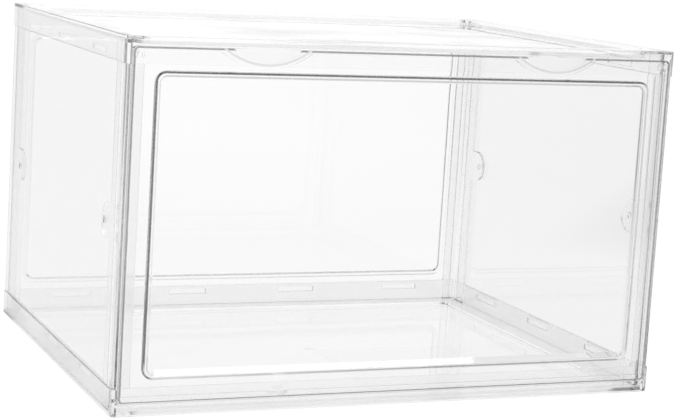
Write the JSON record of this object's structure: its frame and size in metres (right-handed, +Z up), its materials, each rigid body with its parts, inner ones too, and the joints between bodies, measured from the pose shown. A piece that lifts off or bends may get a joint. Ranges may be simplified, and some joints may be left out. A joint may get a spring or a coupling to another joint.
{
  "type": "shoe box",
  "caption": "Clear stackable shoe box: base and lid trays on corner posts, snap-in wall panels and a drop-front door with finger scoops.",
  "frame": {"origin": "on the table under the middle of the box's outline, in the plane of the floor pan's underside", "axes": "+Z up, the door faces -Y, +X to the right of someone who faces the door"},
  "size_m": [0.36, 0.28, 0.222],
  "materials": {
    "clear_tray": "clear moulded, glossy",
    "clear_post": "clear moulded, glossy",
    "clear_panel": "clear moulded, glossy",
    "clear_door": "clear moulded, glossy"
  },
  "bodies": {
    "case": {"base_tray": "clear_tray", "lid_tray": "clear_tray", "corner_post_front_left": "clear_post", "corner_post_front_right": "clear_post", "corner_post_rear_left": "clear_post", "corner_post_rear_right": "clear_post", "left_side_panel": "clear_panel", "right_side_panel": "clear_panel", "back_panel": "clear_panel"},
    "door": {"door": "clear_door"}
  },
  "joints": [
    {"name": "door_hinge", "type": "hinge", "parent": "case", "child": "door", "pos_m": [0, -0.13815, 0.01135], "axis": [1, 0, 0], "range_deg": [0, 92]}
  ]
}
